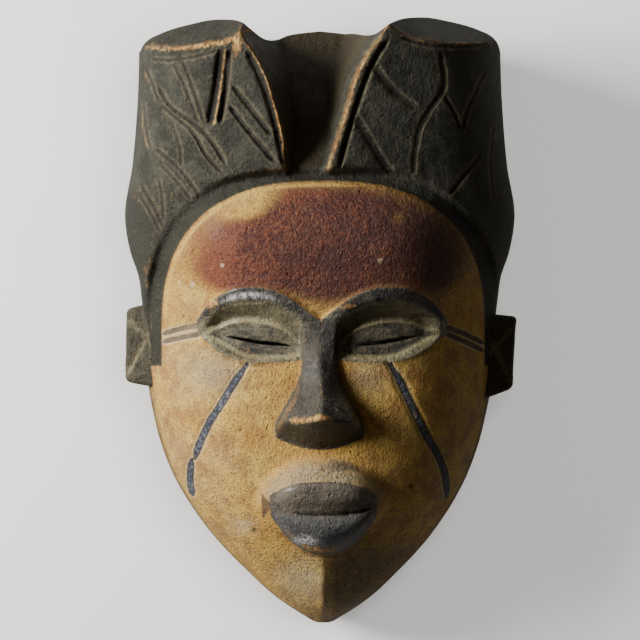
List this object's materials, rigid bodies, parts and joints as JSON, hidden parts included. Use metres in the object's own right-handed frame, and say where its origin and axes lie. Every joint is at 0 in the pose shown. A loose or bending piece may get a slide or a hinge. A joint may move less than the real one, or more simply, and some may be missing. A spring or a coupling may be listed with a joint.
{
  "type": "carved wooden face mask",
  "caption": "Hollow carved wooden face mask with slit eyes, a two-lobed coiffure, block ears and a pointed chin, lying face up on its rim",
  "frame": {"origin": "middle of the back rim's plane, under the middle of the bounding box", "axes": "+X to the right of the face as it is looked at, +Y from the chin to the coiffure, +Z out of the face"},
  "size_m": [0.2068, 0.32, 0.1355],
  "materials": {
    "painted_wood": "satin"
  },
  "bodies": {
    "root": {"mask": "painted_wood"}
  },
  "joints": []
}
